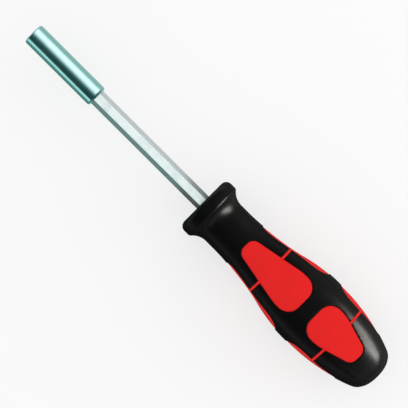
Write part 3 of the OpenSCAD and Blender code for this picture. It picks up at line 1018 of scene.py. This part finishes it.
def makeFloor():                                   # pale paper, whitened where the camera or a gloss sees it
    clearSelection()
    bpy.ops.mesh.primitive_plane_add(size=floorPaper["size"], location=(0, 0, 0))
    floor = bpy.context.object
    floor.name = "floor"
    material = bpy.data.materials.new("floorPaper")
    material.use_nodes = True
    tree = material.node_tree
    tree.nodes.remove(tree.nodes["Principled BSDF"])
    paper = tree.nodes.new("ShaderNodeBsdfDiffuse")
    paper.inputs["Color"].default_value = (*floorPaper["tone"], 1)
    white = tree.nodes.new("ShaderNodeEmission")
    path = tree.nodes.new("ShaderNodeLightPath").outputs
    seen = addMath(tree, "MAXIMUM", path["Is Camera Ray"], path["Is Glossy Ray"])
    seen = addMath(tree, "MAXIMUM", seen, path["Is Transmission Ray"])
    mix = tree.nodes.new("ShaderNodeMixShader")
    tree.links.new(addMath(tree, "MULTIPLY", seen, floorPaper["white"]), mix.inputs[0])
    tree.links.new(paper.outputs[0], mix.inputs[1])
    tree.links.new(white.outputs[0], mix.inputs[2])
    tree.links.new(mix.outputs[0], tree.nodes["Material Output"].inputs["Surface"])
    dress(floor, material)


# Painted shade: dark cards beside the tool, seen only in its gloss, stand in for the shadowed floor that it
# mirrors. Corners in mm along from the butt and to the side
paintedShadeCards = {
    "handleShadeCard": {"from": (-90, -130), "to": (116, 130), "tone": (0.1, 0.1, 0.09)},
    "bladeShadeCard": {"from": (116, 14), "to": (260, 95), "tone": (0.22, 0.45, 0.42)},
}
shadeCardLift = 0.2                                     # over the floor, in mm


# A painted-shade sheet: hidden from the camera, from soft light and from shadows, it darkens only what gloss
# mirrors
def makePaintedShadeCard(name, shadeCard):
    clearSelection()
    first = Vector(shadeCard["from"])
    last = Vector(shadeCard["to"])
    middle = (first + last) / 2 * mm
    bpy.ops.mesh.primitive_plane_add(size=1, location=(buttX + middle.x, middle.y, shadeCardLift * mm))
    obj = bpy.context.object
    obj.name = name
    obj.scale = (*((last - first) * mm), 1)
    obj.visible_camera = False
    obj.visible_diffuse = False
    obj.visible_shadow = False
    # the colour of the painted shade that the gloss mirrors
    material = bpy.data.materials.new(name)
    material.use_nodes = True
    shader = material.node_tree.nodes["Principled BSDF"]
    setConstants(shader, Base_Color=(*shadeCard["tone"], 1), Roughness=1.0, Specular_IOR_Level=0.0)
    dress(obj, material)


# Studio round the tool: an even fill, and what gloss mirrors at each turn, in degrees from overhead to +Y
studio = {
    "fill": (0.92, 0.92, 0.92),
    "turns": (
        (-90, (0.5, 0.5, 0.5)), (-60, (0.4, 0.4, 0.4)), (-30, (0.3, 0.3, 0.3)), (0, (0.28, 0.3, 0.3)),
        (15, (0.16, 0.24, 0.24)), (30, (0.04, 0.1, 0.1)), (60, (0.05, 0.11, 0.11)), (90, (0.3, 0.3, 0.3))),
}


def makeStudio():
    world = bpy.data.worlds.new("studio")
    bpy.context.scene.world = world
    world.use_nodes = True
    tree = world.node_tree
    way = tree.nodes.new("ShaderNodeSeparateXYZ")
    tree.links.new(tree.nodes.new("ShaderNodeTexCoord").outputs["Generated"], way.inputs[0])
    turn = addMath(tree, "ARCTAN2", way.outputs["Y"], way.outputs["Z"])
    ramp = tree.nodes.new("ShaderNodeValToRGB")
    ramp.color_ramp.interpolation = "EASE"
    tree.links.new(addMath(tree, "MULTIPLY_ADD", turn, 1 / math.pi, 0.5), ramp.inputs["Fac"])
    points = ramp.color_ramp.elements
    for k, (degrees, light) in enumerate(studio["turns"]):
        spot = degrees / 180 + 0.5
        point = points[k] if k < 2 else points.new(spot)
        point.position = spot
        point.color = (*light, 1)
    glossy = tree.nodes.new("ShaderNodeLightPath").outputs["Is Glossy Ray"]
    tone = mixColour(tree, glossy, studio["fill"], ramp.outputs["Color"])
    tree.links.new(tone, tree.nodes["Background"].inputs["Color"])


# Soft boxes: "at" and "to" in mm along from the butt, to the side and up; width and height in mm;
# brightness; roll and spread in degrees. The key shades and casts the shadow, the others show only in
# the gloss of their own piece
softBoxes = {
    "key": {
        "at": (-356, -504, 315), "to": (60, 0, 0), "size": (400, 400), "light": 2.0},
    "handleBox": {
        "at": (-356, -504, 315), "to": (116, 7, 130), "size": (520, 330), "light": 10.5, "roll": -28,
        "spread": 100, "tint": (1.0, 0.99, 0.92), "for": bodyPiece},
    "handleRear": {
        "at": (-400, 0, 250), "to": (60, 0, 0), "size": (900, 250), "light": 1.2, "for": bodyPiece},
    "buttBox": {
        "at": (-87, -78, 100), "to": (10, -5, 12), "size": (56, 56), "light": 1.3, "spread": 40,
        "for": bodyPiece},
    "sleeveBox": {
        "at": (186, -136, 146), "to": (186, 0, 0), "size": (150, 450), "light": 1.0,
        "spread": 96, "tint": (1.0, 0.66, 0.68), "for": sleevePiece},
    "sleeveLow": {
        "at": (186, 190, 36), "to": (186, 0, 0), "size": (150, 70), "light": 1.45, "for": sleevePiece},
    "bladeBox": {
        "at": (137, 0, 200), "to": (137, 0, 0), "size": (220, 190), "light": 1.8, "for": bladePiece},
    "bladeSide": {
        "at": (137, -250, 40), "to": (137, 0, 0), "size": (220, 110), "light": 3.0, "for": bladePiece},
}


def makeSoftBox(name, box):
    data = bpy.data.lights.new(name, "AREA")
    data.shape = "RECTANGLE"
    data.size = box["size"][0] * mm
    data.size_y = box["size"][1] * mm
    data.energy = box["light"] * math.pi * data.size * data.size_y
    data.spread = math.radians(box.get("spread", 180))
    data.color = box.get("tint", (1.0, 1.0, 1.0))
    lamp = bpy.data.objects.new(name, data)
    bpy.context.scene.collection.objects.link(lamp)
    lamp.location = place(*box["at"])
    facing = (lamp.location - place(*box["to"])).to_track_quat("Z", "Y").to_matrix()
    lamp.rotation_euler = (facing @ Matrix.Rotation(math.radians(box.get("roll", 0)), 3, "Z")).to_euler()
    lamp.visible_camera = False
    lamp.visible_glossy = "for" in box
    lamp.visible_diffuse = "for" not in box
    if "for" in box:
        lit = bpy.data.collections.new(name + "Lit")
        lit.objects.link(box["for"])
        lamp.light_linking.receiver_collection = lit


makeCamera()
makeFloor()
# painted-shade cards, seen only in gloss
for name, shadeCard in paintedShadeCards.items():
    makePaintedShadeCard(name, shadeCard)
makeStudio()
for name, box in softBoxes.items():
    makeSoftBox(name, box)
bpy.context.scene.view_settings.view_transform = "Standard"
print("stage ready")
